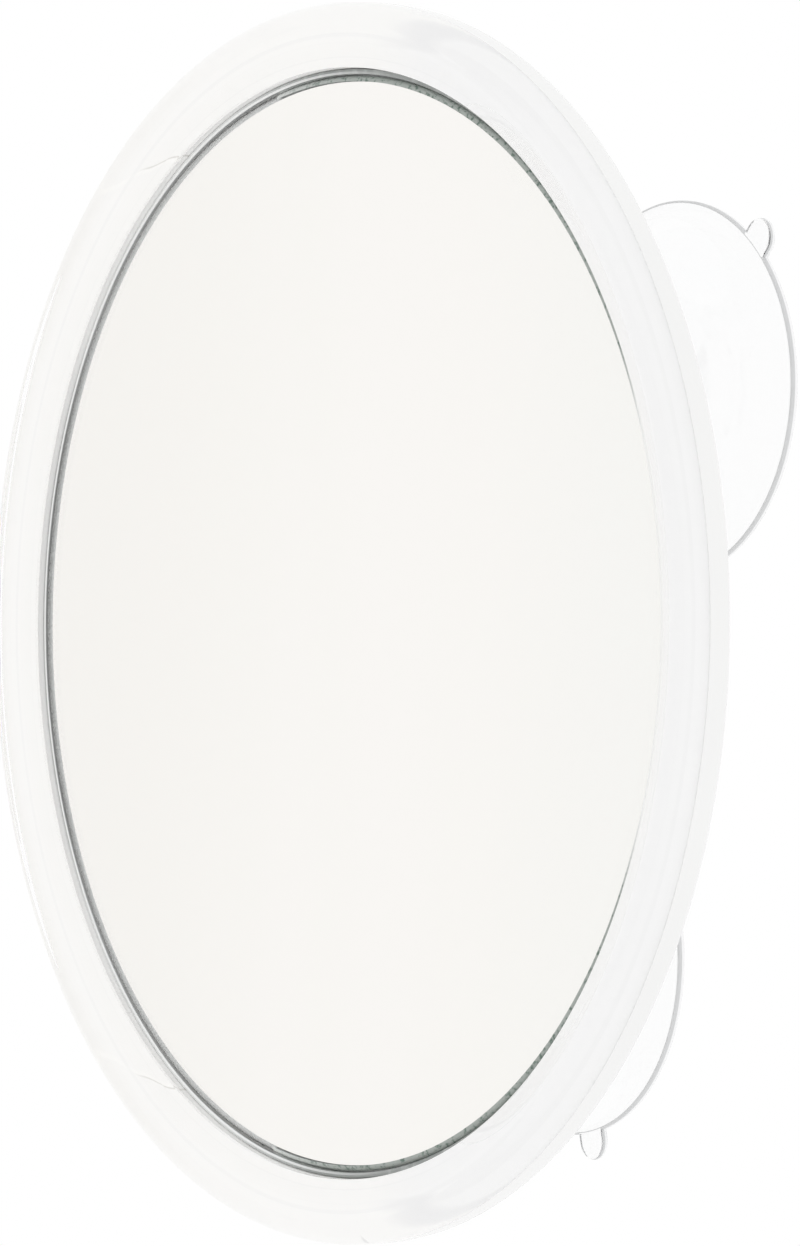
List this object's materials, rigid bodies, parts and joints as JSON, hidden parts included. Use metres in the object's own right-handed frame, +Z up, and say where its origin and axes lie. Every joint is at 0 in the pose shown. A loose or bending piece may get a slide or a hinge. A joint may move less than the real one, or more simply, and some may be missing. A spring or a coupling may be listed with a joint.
{
  "type": "magnifying makeup mirror",
  "caption": "Round magnifying makeup mirror: a concave glass in a clear bullnose ring on a white dished cover, hung on a wall by clear suction cups that turn in their sockets.",
  "frame": {"origin": "middle of the wall plane on which the rims of the three cups lie, on the mirror's own axis", "axes": "+Y from the user into the wall along the mirror's axis, +Z up, +X to the user's right"},
  "size_m": [0.2288, 0.0519, 0.2288],
  "materials": {
    "clear_acrylic": "clear polished acrylic",
    "seal_vinyl": "satin pale grey vinyl",
    "silvered_glass": "polished, silvered and painted on its back",
    "white_plastic": "gloss white",
    "white_foam": "closed-cell foam",
    "clear_vinyl": "clear soft vinyl"
  },
  "bodies": {
    "mirror": {"front_ring": "clear_acrylic", "edge_seal": "seal_vinyl", "mirror_glass": "silvered_glass", "back_cover": "white_plastic", "foam_pad_1": "white_foam", "foam_pad_2": "white_foam", "foam_pad_3": "white_foam", "foam_pad_4": "white_foam", "foam_pad_5": "white_foam", "foam_pad_6": "white_foam"},
    "upper_cup": {"suction_cup_upper": "clear_vinyl"},
    "left_cup": {"suction_cup_left": "clear_vinyl"},
    "lower_cup": {"suction_cup_lower": "clear_vinyl"}
  },
  "joints": [
    {"name": "upper_cup_turn", "type": "hinge", "parent": "mirror", "child": "upper_cup", "pos_m": [0.046, 0, 0.04305], "axis": [0, 1, 0], "continuous": true},
    {"name": "left_cup_turn", "type": "hinge", "parent": "mirror", "child": "left_cup", "pos_m": [-0.06028, 0, 0.01831], "axis": [0, 1, 0], "continuous": true},
    {"name": "lower_cup_turn", "type": "hinge", "parent": "mirror", "child": "lower_cup", "pos_m": [0.01428, 0, -0.06136], "axis": [0, 1, 0], "continuous": true}
  ]
}
